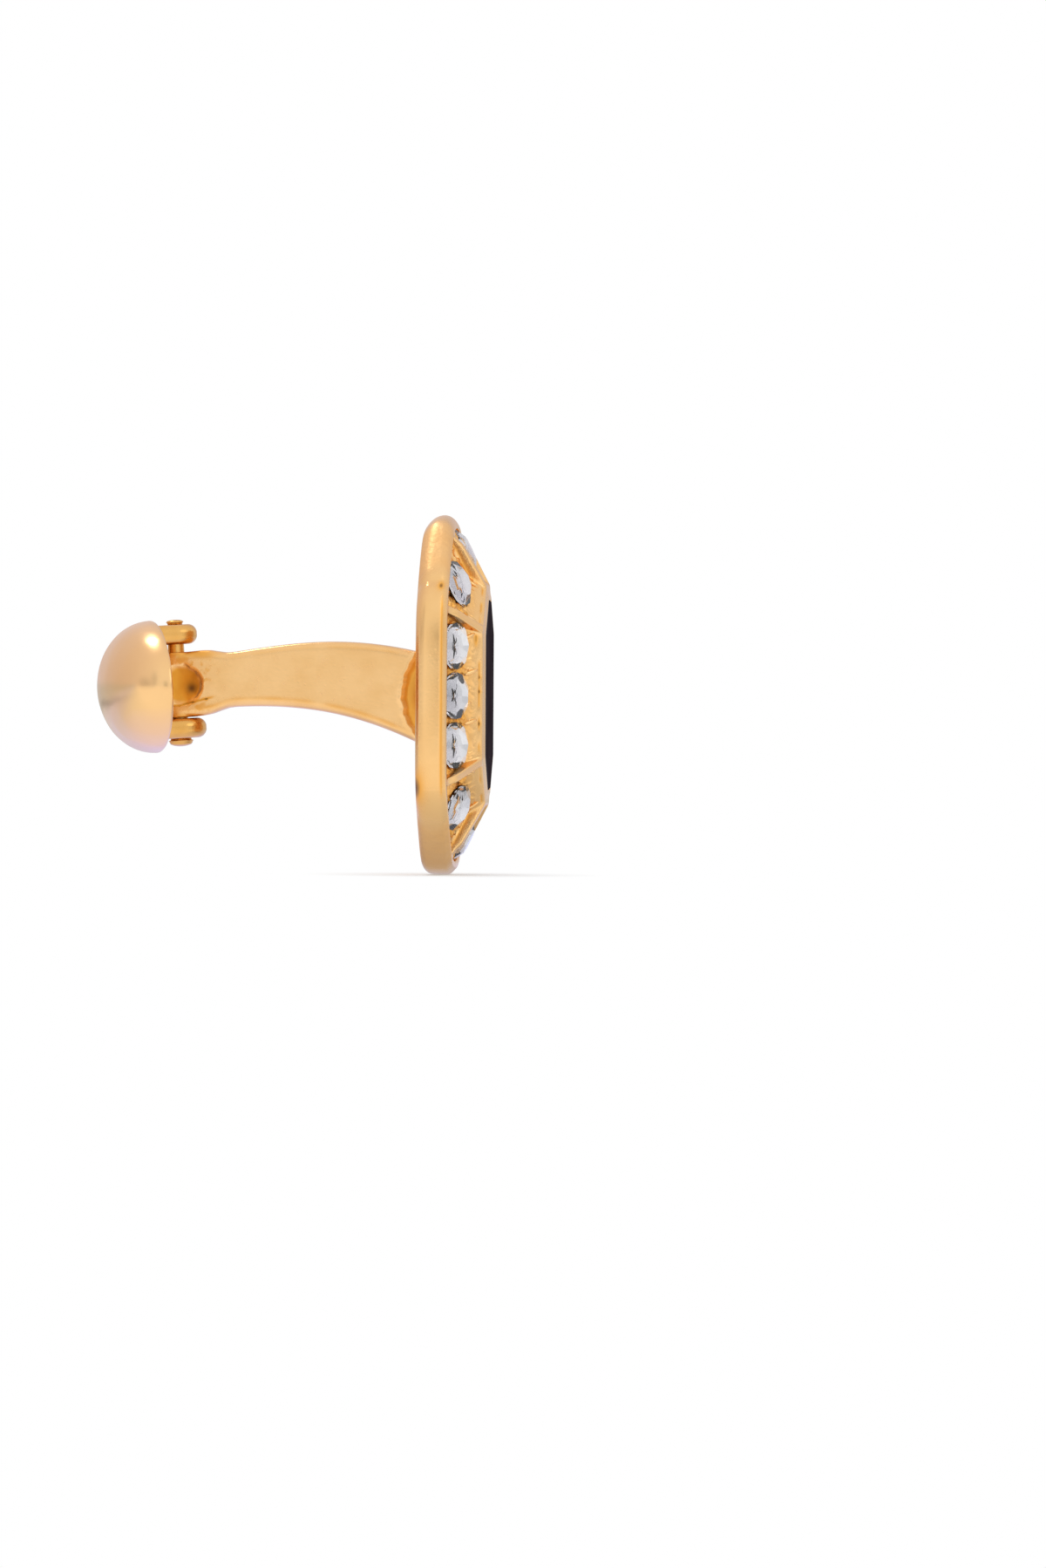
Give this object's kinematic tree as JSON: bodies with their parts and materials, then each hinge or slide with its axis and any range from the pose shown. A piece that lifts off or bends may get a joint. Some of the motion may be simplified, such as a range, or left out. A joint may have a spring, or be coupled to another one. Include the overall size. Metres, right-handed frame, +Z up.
{
  "type": "cufflink",
  "caption": "Swivel-bar cufflink: elongated octagonal gilt head with a dark centre stone in a sloped channel of round clear stones, curved post and oval domed bar.",
  "frame": {"origin": "middle of the flat lower edge that the head stands on, between its rounded back edge and its crease", "axes": "+X from the swivel bar to the front of the head, +Z up the long way of the head, -Y towards the side that the picture shows"},
  "size_m": [0.022, 0.015, 0.02],
  "materials": {
    "gilt_frame": "polished yellow gilding over cast brass",
    "gilt_plate": "satin yellow gilding",
    "gilt_post": "polished yellow gilding over cast brass",
    "gilt_bar": "polished yellow gilding over stamped brass",
    "gilt_bar_base": "satin yellow gilding",
    "gilt_hinge": "polished yellow gilding",
    "gilt_pin": "riveted, gilded",
    "spring_steel": "bright leaf spring",
    "dark_stone": "opaque near-black polished stone",
    "clear_stone": "clear cut crystal, silvered behind"
  },
  "bodies": {
    "head": {"setting_frame": "gilt_frame", "back_plate": "gilt_plate", "centre_stone": "dark_stone", "stone_01": "clear_stone", "stone_02": "clear_stone", "stone_03": "clear_stone", "stone_04": "clear_stone", "stone_05": "clear_stone", "stone_06": "clear_stone", "stone_07": "clear_stone", "stone_08": "clear_stone", "stone_09": "clear_stone", "stone_10": "clear_stone", "stone_11": "clear_stone", "stone_12": "clear_stone", "post": "gilt_post"},
    "swivel_bar": {"bar_shell": "gilt_bar", "bar_base": "gilt_bar_base", "ear_upper": "gilt_hinge", "ear_lower": "gilt_hinge", "hinge_pin": "gilt_pin", "detent_spring": "spring_steel"}
  },
  "joints": [
    {"name": "bar_swivel", "type": "hinge", "parent": "head", "child": "swivel_bar", "pos_m": [-0.01477, 0, 0.01042], "axis": [-0.061, 0, 0.9981], "range_deg": [-104, 76]}
  ]
}
